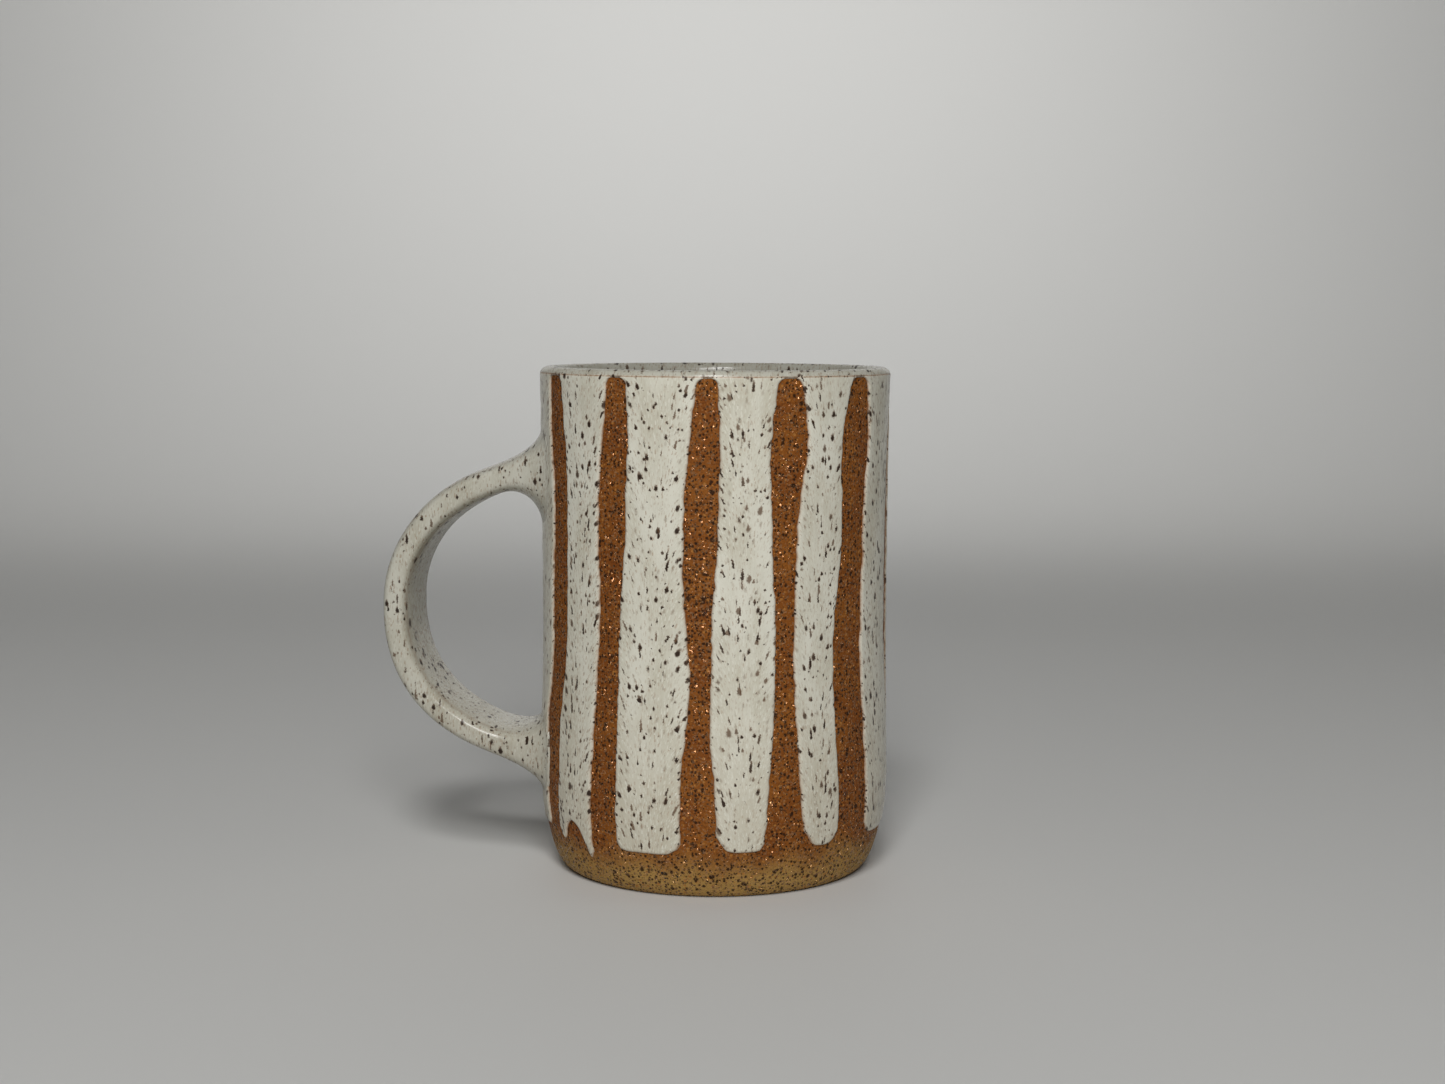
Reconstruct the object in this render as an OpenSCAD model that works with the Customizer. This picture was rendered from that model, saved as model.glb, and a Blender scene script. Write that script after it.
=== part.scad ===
// Hand-thrown stoneware mug with a pulled strap handle and a striped glaze.
// The cup stands on Z = 0 with its axis on Z, and the handle lies along -X.

/* [Cup] */
// Height over the glazed lip
cup_h = 122; // [105:1:150]
// Clay radius at the belly
belly_r = 42; // [32:0.5:52]
// How far the edge of the flat underside is drawn in from the belly
foot_in = 6.5; // [3:0.5:12]
// Height of the belly, where the foot curve ends
belly_z = 24; // [16:1:32]
// How far the waist is drawn in from the belly
waist_in = 0.6; // [0:0.1:3]
// Height of the waist
waist_z = 60; // [45:1:75]
// How far the lip flares out from the waist
rim_flare = 0.6; // [0:0.1:3]
// Wall thickness of the lip
lip_t = 3.2; // [2.4:0.1:5]
// Wall thickness lower down
wall_t = 4; // [3:0.1:6]
// Length over which the wall thins towards the lip
taper_h = 30; // [10:1:40]
// Floor thickness
floor_t = 6; // [4:0.5:10]
// Radius of the curve between the floor and the inside wall
floor_fillet = 13; // [6:1:20]

/* [Handle] */
// Distance from the lip down to the middle of the upper root
upper_drop = 24.4; // [20:0.2:40]
// Height of the middle of the lower root
lower_root_z = 27; // [20:0.5:32]
// How far the middle of the strap stands out from the cup wall
handle_reach = 35.8; // [26:0.2:45]
// Width of the strap at the middle of the grip
strap_w = 24.5; // [16:0.5:32]
// Thickness of the strap at the middle of the grip
strap_t = 5.8; // [3:0.1:8]
// Extra width at each root
root_w_gain = 7.5; // [2:0.5:12]
// Extra thickness at the upper root
upper_t_gain = 7.5; // [2:0.5:10]
// Extra thickness at the lower root
lower_t_gain = 8; // [2:0.5:12]
// Length over which a root flares into the wall
flare_len = 15; // [8:1:24]
// Squareness of the strap's section, 2 for an oval
section_power = 3; // [2:0.1:4]

/* [Handle curve] */
// Height of the grip, as a share of the height between the roots
grip_rise = 0.53; // [0.45:0.01:0.6]
// How far the upper arm runs out before it turns down, as a share of the reach
upper_arm_out = 0.74; // [0.6:0.02:0.9]
// How far it drops on the way, as a share of the height between the roots
upper_arm_drop = 0.03; // [0:0.01:0.1]
// How far the straight of the grip pulls up, as a share of the same height
grip_pull_up = 0.175; // [0.1:0.005:0.25]
// How far it pulls down, as a share of the same height
grip_pull_down = 0.07; // [0.03:0.005:0.15]
// How far the lower arm runs out from its root, as a share of the reach
lower_arm_out = 1.04; // [0.8:0.02:1.1]
// How far it rises on the way, as a share of the height between the roots
lower_arm_rise = 0.065; // [0:0.005:0.15]

/* [Joint slip] */
// Thickness of the slip that lutes each handle root to the wall
slip_t = 0.6; // [0.3:0.05:1]

/* [Glaze] */
// Thickness of the glaze on the outside, the lip and the handle
glaze_t = 0.5; // [0.3:0.05:1]
// Thickness of the glaze inside
liner_t = 0.4; // [0.3:0.05:0.8]
// Height of the glaze stripes' lower ends
stripe_z = 12; // [8:0.5:20]
// Angle that the stripe on the handle's side shows beside each root
root_side_glaze = 12.4; // [10:0.2:16]
// Rounding of the stripes' lower corners
stripe_corner = 1.2; // [0.6:0.2:3]
// How far the rim glaze reaches down inside
rim_lap = 9; // [4:1:20]

/* [Hidden] */
$fn = 96;

clay_colour = [0.50, 0.28, 0.12];
slip_colour = [0.45, 0.27, 0.15];
glaze_colour = [0.80, 0.79, 0.73];

// Points along each stretch of the cup's outline
foot_steps = 10;
wall_steps = 14;
lip_steps = 12;
bore_steps = 10;
floor_steps = 8;
rim_steps = 4;
// Points round the strap, and rings along it
strap_points = 20;
strap_rings = 44;
// Crowds the rings towards both roots, where the strap flares
ring_crowding = 1.5;
// Points along each side and lower end of a glaze stripe
edge_steps = 18;
drip_steps = 16;
// Crowds the points of a side towards its rounded lower corner
edge_crowding = 1.4;
// How far cutting shapes run past what they cut
cut_margin = 2;
// How far the strap's ends run on inside the wall
root_margin = 1;

// Cup levels and radii that follow from the driving sizes
foot_r = belly_r - foot_in;
clay_h = cup_h - glaze_t;
lip_r = lip_t / 2;
lip_z = clay_h - lip_r;
waist_r = belly_r - waist_in;
rim_r = waist_r + rim_flare;

// Strap levels and half widths that follow from the driving sizes
upper_root_z = cup_h - upper_drop;
root_span = upper_root_z - lower_root_z;
grip_x = waist_r + handle_reach;
grip_z = lower_root_z + grip_rise * root_span;
root_half_w = (strap_w + root_w_gain) / 2 + glaze_t;
// The strap starts this far inside the wall, so that its full width meets the round wall
root_bury = belly_r - sqrt(pow(belly_r, 2) - pow(root_half_w, 2)) + root_margin;

// Glaze gaps, counted from the gap in front of the handle round the +X side.
// Each gap has the angle of its middle, and the rows below give how far its
// two brushed edges stand from there, in degrees, at levels from foot to lip.
// The first and the last keep clear of the handle's roots.
root_gap = 180 - asin(root_half_w / belly_r) - root_side_glaze;
gap_angles = [-root_gap, -120, -89.5, -62, -35, -3, 22, 47, 73, 98, 121, root_gap];
gap_low_edges = [
    [-10.5, -12, -11.5, -7.3, -7.5, -6.2, -5.2, -7.6, -7],
    [-8, -7.5, -6, -5, -4, -4.5, -4.5, -2.5, -0.5],
    [-5.5, -5.5, -4, -2.5, -4.5, -5, -4.5, -3, -0.5],
    [-6, -5, -3.5, -3, -3, -4, -4.5, -5, -2.5],
    [-5, -5.5, -7, -8, -7.5, -5, -5, -5.5, -1],
    [2, 1.5, 0, -4, -5.5, -5.5, -5, -4, 1]];
gap_high_edges = [
    [-2, -0.8, -0.3, 2.9, 3.8, 4, 4.2, 3, 0.8],
    [2.5, 2.5, 3, 3.5, 4, 5.5, 6, 7, 6],
    [5.5, 5, 3.5, 4, 4, 5.5, 6, 6.5, 5.5],
    [8, 5.5, 4.5, 3.5, 3.5, 4, 5, 8, 5],
    [10, 9, 7.5, 6, 6, 6.5, 7, 9, 7],
    [10, 9, 8, 6, 5.5, 5.5, 6, 7, 8]];
// The gaps on the far side repeat these brush strokes, turned the other way
gap_strokes = [0, 1, 2, 3, 4, 5, 1, 2, 3, 2, 1, 0];
first_mirrored_gap = 6;
// How far each stripe's lower end hangs below or stops above stripe_z, in mm,
// at even places from its low-angle side to its high-angle side
stripe_drips = [
    [0, -0.5, -1, -0.5, 0],
    [-1, -1.8, 1.5, 3.2, 3.3, 2.6, 1.2, -1.5, -4.8],
    [-0.8, -1.2, -1.2, -1.2, -1.2, -1.2, -1.2, -0.9, 0.2],
    [1.8, 0.3, -0.2, -0.4, -0.4, -0.4, -0.4, -0.3, -0.1],
    [2.4, 0.8, -0.1, -0.4, -0.5, -0.5, -0.4, 0, 0.8],
    [0.4, -0.5, -0.8, -0.9, -1, -1, -0.9, -0.6, 0]];

// Smooth step from 0 to 1
function ease(t) = let (c = min(max(t, 0), 1)) c * c * (3 - 2 * c);

// Value of a row of evenly spaced numbers at t from 0 to 1, on a smooth curve
function smooth_row(row, t) = let (
    n = len(row) - 1,
    i = min(floor(t * n), n - 1),
    f = t * n - i,
    a = row[max(i - 1, 0)],
    b = row[i],
    c = row[i + 1],
    d = row[min(i + 2, n)]
) b + 0.5 * f * (c - a + f * (2 * a - 5 * b + 4 * c - d + f * (3 * (b - c) + d - a)));

// Outside radius of the clay at a height
function wall_r(z) =
    z < belly_z ? foot_r + foot_in * sqrt(1 - pow(1 - max(z, 0) / belly_z, 2)) :
    z < waist_z ? belly_r - waist_in * ease((z - belly_z) / (waist_z - belly_z)) :
    waist_r + rim_flare * pow((z - waist_z) / (lip_z - waist_z), 2);

// Inside radius of the clay at a height above the floor curve
function bore_r(z) = wall_r(max(z, belly_z)) - lip_t - (wall_t - lip_t) * ease((lip_z - z) / taper_h);

// Heights from z0 to z1 in even steps, from the first one wanted
function heights(z0, z1, steps, first = 0) =
    [for (i = [first : steps]) z0 + (z1 - z0) * i / steps];

function reversed(list) = [for (i = [len(list) - 1 : -1 : 0]) list[i]];
function without_first(list) = [for (i = [1 : len(list) - 1]) list[i]];

// Outside line of the cup at some heights, g outside the clay
function outer_line(levels, g = 0) = [for (z = levels) [wall_r(z) + g, z]];
wall_levels = heights(belly_z, lip_z, wall_steps, 1);

// The foot's curve, with its points closer together where it bends most
function foot_line(g = 0) =
    [for (i = [0 : foot_steps]) let (a = 90 * i / foot_steps)
        [foot_r + foot_in * sin(a) + g, belly_z * (1 - cos(a))]];

// Half circle over the lip, from the outside to the inside, g outside the clay
function lip_line(g = 0) =
    [for (i = [0 : lip_steps]) let (a = 180 * i / lip_steps)
        [rim_r - lip_r + (lip_r + g) * cos(a), lip_z + (lip_r + g) * sin(a)]];

// Inside line of the cup at some heights, g inside the clay
function bore_line(levels, g = 0) = [for (z = levels) [bore_r(z) - g, z]];
// The rim glaze laps over the first levels and the liner covers the rest
rim_levels = heights(lip_z, lip_z - rim_lap, rim_steps, 1);
liner_levels = heights(lip_z - rim_lap, floor_t + floor_fillet, bore_steps);

// Curve between the inside wall and the floor, g inside the clay
function floor_line(g = 0) =
    let (z0 = floor_t + floor_fillet, r0 = bore_r(z0) - floor_fillet)
    [for (i = [1 : floor_steps]) let (a = 90 * i / floor_steps)
        [r0 + (floor_fillet - g) * cos(a), z0 - (floor_fillet - g) * sin(a)]];

// Solid cup without its hollow, g larger than the clay on its outside
module cup_blank(g = 0) {
    rotate_extrude()
        polygon(concat(
            [[0, 0]],
            foot_line(g),
            outer_line(wall_levels, g),
            without_first(lip_line(g)),
            [[0, lip_z]]));
}

// Distance out from the cup's axis to the middle of the strap, and its height,
// at t from 0 at the upper root through 1 at the grip to 2 at the lower root
upper_arm = [
    [wall_r(upper_root_z) - root_bury, upper_root_z],
    [wall_r(upper_root_z) + upper_arm_out * handle_reach, upper_root_z - upper_arm_drop * root_span],
    [grip_x, grip_z + grip_pull_up * root_span],
    [grip_x, grip_z]];
lower_arm = [
    [grip_x, grip_z],
    [grip_x, grip_z - grip_pull_down * root_span],
    [wall_r(lower_root_z) + lower_arm_out * handle_reach, lower_root_z + lower_arm_rise * root_span],
    [wall_r(lower_root_z) - root_bury, lower_root_z]];

function bezier(p, t) =
    pow(1 - t, 3) * p[0] + 3 * t * pow(1 - t, 2) * p[1] + 3 * t * t * (1 - t) * p[2] + pow(t, 3) * p[3];
function bezier_slope(p, t) =
    pow(1 - t, 2) * (p[1] - p[0]) + 2 * t * (1 - t) * (p[2] - p[1]) + t * t * (p[3] - p[2]);
function strap_point(t) = t < 1 ? bezier(upper_arm, t) : bezier(lower_arm, t - 1);
function strap_slope(t) = t < 1 ? bezier_slope(upper_arm, t) : bezier_slope(lower_arm, t - 1);

// How much of a root's flare is left at a distance out from the wall
function flare(x, z) = pow(max(1 - max(x - wall_r(z), 0) / flare_len, 0), 3);

// One ring of the strap: a flattened oval square to the strap's middle line
function strap_ring(t, g) = let (
    p = strap_point(t),
    s = strap_slope(t) / norm(strap_slope(t)),
    f = flare(p.x, p.y),
    half_w = (strap_w + root_w_gain * f) / 2 + g,
    half_t = (strap_t + (t < 1 ? upper_t_gain : lower_t_gain) * f) / 2 + g,
    e = 2 / section_power
) [for (i = [0 : strap_points - 1]) let (
    a = 360 * i / strap_points,
    u = half_t * sign(cos(a)) * pow(abs(cos(a)), e),
    v = half_w * sign(sin(a)) * pow(abs(sin(a)), e)
) [-(p.x - s.y * u), v, p.y + s.x * u]];

// Place of a ring along the strap, from 0 at the upper root to 2 at the lower one
function ring_place(k) = k < 1 ? pow(k, ring_crowding) : 2 - pow(2 - k, ring_crowding);

// The strap as one closed sweep, g larger than the clay all round
module strap_sweep(g = 0) {
    n = strap_points;
    polyhedron(
        [for (k = [0 : strap_rings]) each strap_ring(ring_place(2 * k / strap_rings), g)],
        concat(
            [[for (i = [0 : n - 1]) i]],
            [for (k = [0 : strap_rings - 1], i = [0 : n - 1]) let (
                a = k * n + i,
                b = k * n + (i + 1) % n
            ) [a, a + n, b + n, b]],
            [[for (i = [n - 1 : -1 : 0]) strap_rings * n + i]]));
}

// The thrown cup: floor, wall and rounded lip, in bare clay
module body() {
    color(clay_colour)
        rotate_extrude()
            polygon(concat(
                [[0, 0]],
                foot_line(),
                outer_line(wall_levels),
                without_first(lip_line()),
                bore_line(rim_levels),
                without_first(bore_line(liner_levels)),
                floor_line(),
                [[0, floor_t]]));
}

// The pulled strap, cut square against the slip on the wall
module handle() {
    color(clay_colour)
        difference() {
            strap_sweep();
            cup_blank(slip_t);
        }
}

// The scored and slipped layer under the handle's root between two heights
module slip_joint(z_low, z_high) {
    color(slip_colour)
        difference() {
            intersection() {
                strap_sweep();
                cup_blank(slip_t);
                translate([0, 0, z_low])
                    cylinder(r = grip_x, h = z_high - z_low);
            }
            cup_blank();
        }
}

// The glaze poured inside, from the floor to the lower edge of the rim glaze
module liner_glaze() {
    color(glaze_colour)
        rotate_extrude()
            polygon(concat(
                [[0, floor_t]],
                reversed(floor_line()),
                reversed(bore_line(liner_levels)),
                bore_line(liner_levels, liner_t),
                floor_line(liner_t),
                [[0, floor_t + liner_t]]));
}

// The glaze over the lip, from the top of the stripes to the liner
module rim_glaze() {
    thinning = (glaze_t - liner_t) / rim_lap;
    color(glaze_colour)
        rotate_extrude()
            polygon(concat(
                lip_line(glaze_t),
                [for (z = rim_levels) [bore_r(z) - glaze_t + thinning * (lip_z - z), z]],
                reversed(bore_line(rim_levels)),
                reversed(lip_line())));
}

// The glaze sleeve round the strap, which meets the glaze stripe on the wall
module handle_glaze() {
    color(glaze_colour)
        difference() {
            strap_sweep(glaze_t);
            strap_sweep();
            cup_blank(glaze_t);
        }
}

// Edge of a gap, in degrees round the cup, at t from 0 at the foot to 1 at the lip
function gap_edge(gap, high, t) = let (
    stroke = gap_strokes[gap],
    turned = gap >= first_mirrored_gap,
    rows = high != turned ? gap_high_edges : gap_low_edges
) gap_angles[gap] + (turned ? -1 : 1) * smooth_row(rows[stroke], t);

// The coat of glaze that the stripes are parts of, from the foot up to the lip
module glaze_coat() {
    rotate_extrude()
        polygon(concat(
            foot_line(),
            outer_line(wall_levels),
            reversed(outer_line(wall_levels, glaze_t)),
            reversed(foot_line(glaze_t))));
}

// Inward rounding of a stripe's side at a height above its lower end
function toe(h) = h < stripe_corner
    ? stripe_corner - sqrt(pow(stripe_corner, 2) - pow(stripe_corner - max(h, 0), 2)) : 0;

// One side of a stripe, from its lower end up to the lip, as sideways place and
// height. The side of the stripe that runs along a gap's high edge is its low side.
function stripe_side(gap, high, middle, end) = [for (i = [0 : edge_steps]) let (
    z = end + (lip_z - end) * pow(i / edge_steps, edge_crowding),
    t = max(z - stripe_z, 0) / (lip_z - stripe_z)
) [belly_r * sin(gap_edge(gap, high, t) - middle) + (high ? 1 : -1) * toe(z - end), z]];

// Outline of the stripe between two gaps: its dripped end, and then its sides
function stripe_outline(low_gap, high_gap, middle, drips) = let (
    low_side = stripe_side(low_gap, true, middle, stripe_z + drips[0]),
    high_side = stripe_side(high_gap, false, middle, stripe_z + drips[len(drips) - 1]),
    x0 = low_side[0].x,
    x1 = high_side[0].x
) concat(
    [for (i = [1 : drip_steps - 1]) let (f = i / drip_steps)
        [x0 + (x1 - x0) * f, stripe_z + smooth_row(drips, f)]],
    high_side,
    reversed(low_side));

// One stripe of glaze, cut out of the coat square to the wall at its middle
module glaze_stripe(low_gap, high_gap, drips) {
    turn = low_gap > high_gap ? 360 : 0;
    middle = (gap_angles[low_gap] + gap_angles[high_gap] + turn) / 2;
    color(glaze_colour)
        intersection() {
            glaze_coat();
            rotate([0, 0, middle + 90])
                rotate([90, 0, 0])
                    linear_extrude(belly_r + glaze_t + cut_margin)
                        polygon(stripe_outline(low_gap, high_gap, middle, drips));
        }
}

// The wide stripe that carries the handle, open where the roots are luted on
module handle_side_stripe() {
    difference() {
        glaze_stripe(len(gap_angles) - 1, 0, stripe_drips[0]);
        strap_sweep();
    }
}

module numbered_stripe(i) {
    glaze_stripe(i - 1, i, stripe_drips[(i - 1) % (len(stripe_drips) - 1) + 1]);
}

body();
handle();
slip_joint(grip_z, lip_z - cut_margin);  // upper_slip_joint
slip_joint(cut_margin, grip_z);  // lower_slip_joint
liner_glaze();
rim_glaze();
handle_glaze();
handle_side_stripe();
numbered_stripe(1);  // glaze_stripe_01
numbered_stripe(2);  // glaze_stripe_02
numbered_stripe(3);  // glaze_stripe_03
numbered_stripe(4);  // glaze_stripe_04
numbered_stripe(5);  // glaze_stripe_05
numbered_stripe(6);  // glaze_stripe_06
numbered_stripe(7);  // glaze_stripe_07
numbered_stripe(8);  // glaze_stripe_08
numbered_stripe(9);  // glaze_stripe_09
numbered_stripe(10);  // glaze_stripe_10
numbered_stripe(11);  // glaze_stripe_11
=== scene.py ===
import math

import bmesh
import bpy
import numpy as np
from mathutils import Matrix, Vector, noise
from mathutils.bvhtree import BVHTree


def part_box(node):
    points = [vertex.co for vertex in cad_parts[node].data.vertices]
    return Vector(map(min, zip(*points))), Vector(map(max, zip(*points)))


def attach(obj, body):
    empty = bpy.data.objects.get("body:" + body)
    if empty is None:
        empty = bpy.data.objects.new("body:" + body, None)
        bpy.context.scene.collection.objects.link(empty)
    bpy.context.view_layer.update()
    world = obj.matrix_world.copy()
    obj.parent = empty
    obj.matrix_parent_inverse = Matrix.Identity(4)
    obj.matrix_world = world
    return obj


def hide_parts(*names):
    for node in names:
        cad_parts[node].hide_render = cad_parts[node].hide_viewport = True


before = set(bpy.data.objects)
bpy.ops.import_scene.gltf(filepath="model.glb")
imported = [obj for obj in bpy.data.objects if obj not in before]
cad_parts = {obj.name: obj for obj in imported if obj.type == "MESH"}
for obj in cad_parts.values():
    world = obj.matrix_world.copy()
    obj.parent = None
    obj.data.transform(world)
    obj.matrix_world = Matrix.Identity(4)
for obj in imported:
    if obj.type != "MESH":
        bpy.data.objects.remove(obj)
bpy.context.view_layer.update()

MM = 0.001

# Levels and thicknesses, in millimetres, read off the frame
LIP_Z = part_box("glaze_stripe_01")[1].z / MM
CLAY_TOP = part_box("body")[1].z / MM
LIP_R = CLAY_TOP - LIP_Z
GLAZE_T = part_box("rim_glaze")[1].z / MM - CLAY_TOP
LAP_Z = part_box("liner_glaze")[1].z / MM
FLOOR_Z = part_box("liner_glaze")[0].z / MM
LINER_T = 0.4
# Where the foot's curve ends outside and the floor's curve ends inside
BELLY_Z = 24.0
WELL_Z = 19.0
# A level on the plain wall, where stripes are measured
WAIST_Z = 60.0
# Steps in a full turn of the cup
FULL_TURN = 240

# How far the coats' backs sink into the clay, and how far their fine edges do
UNDER = 0.3
EDGE_SINK = 0.05
BRUSHED_SINK = 0.08
# Length over which a brushed edge rises to the full coat
BEAD = 0.9
# Height of the lip coat's edge over the level of the lip, and the length that rounds it off
LIP_EDGE = 0.25
EDGE_ROUND = 0.35
# Length over which the lip's and the inner coat feather into one another
LAP = 2.0
# How far a stripe runs on under the lip's coat, and the length over which it dives under
TUCK = 2.2
DIVE = 1.2
# Radius of the arch at the top of each gap between stripes
ARCH_R = 1.5
# How far a brushed edge wanders, over what height, and how it varies from stripe to stripe and side to side
EDGE_WANDER = ((0.36, 3.4, 5.3, 9.1), (0.15, 1.1, 3.7, 4.3))
# How far in from its edge a stripe is thin, and how far its specks lean outwards at its sides, in radians
THIN_REACH = 1.1
LEAN = 0.62
# Where, how thinly and over what half height the glaze breaks under the lip
BREAK_UP = 0.62
BREAK_THIN = 0.98
BREAK_HALF = 0.33
# A side ends where it jumps by this many degrees from one level to the next, looked for this far up
TOE_JUMP = 0.35
TOE_SEARCH = 10

STRIPES = ["handle_side_stripe"] + [f"glaze_stripe_{i:02d}" for i in range(1, 12)]


# ---------------------------------------------------------------- the thrown outline

def corners_of(node, facing):
    """Radius and height of a turned piece's corners that face out (1) or in (-1), in mm."""
    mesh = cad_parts[node].data
    found = set()
    for face in mesh.polygons:
        middle = face.center
        outward = (face.normal.x * middle.x + face.normal.y * middle.y) / math.hypot(middle.x, middle.y)
        if outward * facing > 0.02:
            for i in face.vertices:
                co = mesh.vertices[i].co
                found.add((round(math.hypot(co.x, co.y) / MM, 2), round(co.z / MM, 2)))
    return found


def smooth_line(corners, reach):
    """Evenly spaced points along a line of corners, softened over a reach in mm."""
    pts = np.array(corners, float)
    run = np.concatenate([[0], np.cumsum(np.hypot(*np.diff(pts, axis=0).T))])
    step = 0.25
    even = np.linspace(0, run[-1], max(int(run[-1] / step), 2))
    line = np.column_stack([np.interp(even, run, pts[:, k]) for k in (0, 1)])
    half = int(3 * reach / step)
    weights = np.exp(-0.5 * (np.arange(-half, half + 1) * step / reach) ** 2)
    weights /= weights.sum()
    # Mirrored through each end, so that the ends stay where they are
    head = 2 * line[0] - line[half:0:-1]
    tail = 2 * line[-1] - line[-2:-half - 2:-1]
    padded = np.vstack([head, line, tail])
    return np.column_stack([np.convolve(padded[:, k], weights, "valid") for k in (0, 1)])


def clay_outline():
    """The clay's outline from the foot's edge, up the outside, over the lip and down to the floor."""
    outer = sorted((c for c in corners_of("body", 1) if c[1] < LIP_Z - 0.1), key=lambda c: c[1])
    inner = sorted((c for c in corners_of("body", -1) if c[1] < LIP_Z - 0.1), key=lambda c: (-c[1], -c[0]))
    rim_r = max(c[0] for c in corners_of("body", 1) if abs(c[1] - LIP_Z) < 0.1)
    foot = smooth_line([c for c in outer if c[1] < BELLY_Z + 0.1], 0.8)
    wall = smooth_line([c for c in outer if c[1] > BELLY_Z - 0.1] + [(rim_r, LIP_Z)], 3.0)
    arc = np.radians(np.linspace(0, 180, 41))
    lip = np.column_stack([rim_r - LIP_R + LIP_R * np.cos(arc), LIP_Z + LIP_R * np.sin(arc)])
    bore = smooth_line([(rim_r - 2 * LIP_R, LIP_Z)] + [c for c in inner if c[1] > WELL_Z - 0.1], 3.0)
    well = smooth_line([c for c in inner if c[1] < WELL_Z + 0.1], 0.8)
    return np.vstack([foot, wall[1:], lip[1:], bore[1:], well[1:]])


class Outline:
    """The clay's outline by length along it, with the direction that faces away from the clay."""

    def __init__(self, pts):
        self.pts = pts
        self.run = np.concatenate([[0], np.cumsum(np.hypot(*np.diff(pts, axis=0).T))])
        slope = np.gradient(pts, self.run, axis=0)
        slope /= np.hypot(*slope.T)[:, None]
        self.out = np.column_stack([slope[:, 1], -slope[:, 0]])
        top = int(np.argmax(pts[:, 1]))
        self.rise, self.rise_run = pts[:top, 1], self.run[:top]
        self.fall, self.fall_run = pts[top:, 1], self.run[top:]

    def at(self, s):
        """Radius, height and the two parts of the outward direction at a length along the outline."""
        return [np.interp(s, self.run, column) for column in (*self.pts.T, *self.out.T)]

    def outside(self, z):
        return float(np.interp(z, self.rise, self.rise_run))

    def inside(self, z):
        return float(np.interp(-z, -self.fall, self.fall_run))

    def wall_radius(self, z):
        return self.at(self.outside(z))[0]


clay = Outline(clay_outline())
LIP_S = clay.outside(LIP_Z)
LIP_MIDDLE = clay.wall_radius(LIP_Z) - LIP_R


def throwing(angle, z):
    """How far the thrower's fingers left the wall from a true surface of revolution, in mm."""
    rings = 0.035 * np.sin(z * 0.83 + 0.6 * np.sin(angle))
    rings = rings + 0.03 * np.sin(z * 0.47 + 1.9 + 0.8 * np.cos(angle + 1))
    sway = 0.10 * np.sin(2 * angle + z / 38) + 0.06 * np.sin(3 * angle - z / 50 + 1)
    return (rings + sway) * np.minimum(1, z / 12)


def on_clay(angle, s, lift):
    """Points over the clay, in metres: angles round the cup, lengths along the outline and lifts off it."""
    r, z, out_r, out_z = clay.at(s)
    radius = r + out_r * lift + throwing(angle, z)
    return np.column_stack([radius * np.cos(angle), radius * np.sin(angle), z + out_z * lift]) * MM


# ---------------------------------------------------------------- making meshes

def finish_mesh(bm, name, material, slot, *stands_for):
    """Turns a bmesh into a piece that rides on the mug and stands for some CAD nodes."""
    bmesh.ops.recalc_face_normals(bm, faces=bm.faces)
    for face in bm.faces:
        face.smooth = True
    mesh = bpy.data.meshes.new(name)
    bm.to_mesh(mesh)
    bm.free()
    mesh.materials.append(material)
    piece = bpy.data.objects.new(name, mesh)
    bpy.context.scene.collection.objects.link(piece)
    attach(piece, "root")
    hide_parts(*stands_for)
    return piece


def turn(line, steps=FULL_TURN):
    """Spins a line of points (radius, height), in mm, round the cup's axis."""
    bm = bmesh.new()
    row = [bm.verts.new((r * MM, 0, z * MM)) for r, z in line]
    edges = [bm.edges.new(pair) for pair in zip(row, row[1:])]
    if np.hypot(*np.subtract(line[0], line[-1])) > 0.01 and line[0][0] > 0.01:
        edges.append(bm.edges.new((row[-1], row[0])))
    bmesh.ops.spin(bm, geom=row + edges, cent=(0, 0, 0), axis=(0, 0, 1), angle=math.tau,
                   steps=steps, use_merge=True)
    bmesh.ops.remove_doubles(bm, verts=bm.verts, dist=1e-6)
    return bm


def lay_on(bm):
    """Gives a turned mesh the unevenness of the thrown wall, which fades out on the floor."""
    still, full = 5, 25
    place = np.array([v.co for v in bm.verts])
    r = np.maximum(np.hypot(place[:, 0], place[:, 1]), still * MM)
    uneven = throwing(np.arctan2(place[:, 1], place[:, 0]), place[:, 2] / MM) * MM
    place[:, :2] *= (1 + uneven / r * np.clip((r / MM - still) / (full - still), 0, 1))[:, None]
    for v, co in zip(bm.verts, place):
        v.co = co


def thinness(bm, measure):
    """Stores on each point how thin the glaze is there, 0 to 1, from a function of its place in mm."""
    layer = bm.verts.layers.float.new("thin")
    for v in bm.verts:
        v[layer] = measure(v.co / MM)


# ---------------------------------------------------------------- cup and its inner and lip glaze

def coat_line(s_values, lifts):
    """Points of a coat's surface along the outline, with the lift of each."""
    line = []
    for s, lift in zip(s_values, lifts):
        r, z, out_r, out_z = clay.at(s)
        line.append((r + out_r * lift, z + out_z * lift))
    return line


def thrown_cup(material):
    """The clay: foot, wall, lip, inside and floor, turned in one piece."""
    step = np.concatenate([
        np.linspace(0, clay.outside(BELLY_Z), 34),
        np.linspace(clay.outside(BELLY_Z), LIP_S, 120)[1:],
        np.linspace(LIP_S, clay.inside(LIP_Z), 14)[1:],
        np.linspace(clay.inside(LIP_Z), clay.run[-1], 60)[1:]])
    line = [(0, 0)] + coat_line(step, [0] * len(step)) + [(0, FLOOR_Z)]
    line[1] = (line[1][0], 0)
    bm = turn(line)
    lay_on(bm)
    return finish_mesh(bm, "thrown_cup", material, "stoneware", "body")


def lip_break(z):
    """How thin the glaze runs at a height just under the lip, where it breaks over the clay's edge."""
    return BREAK_THIN * np.exp(-((z - LIP_Z - BREAK_UP) / BREAK_HALF) ** 2)


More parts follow.
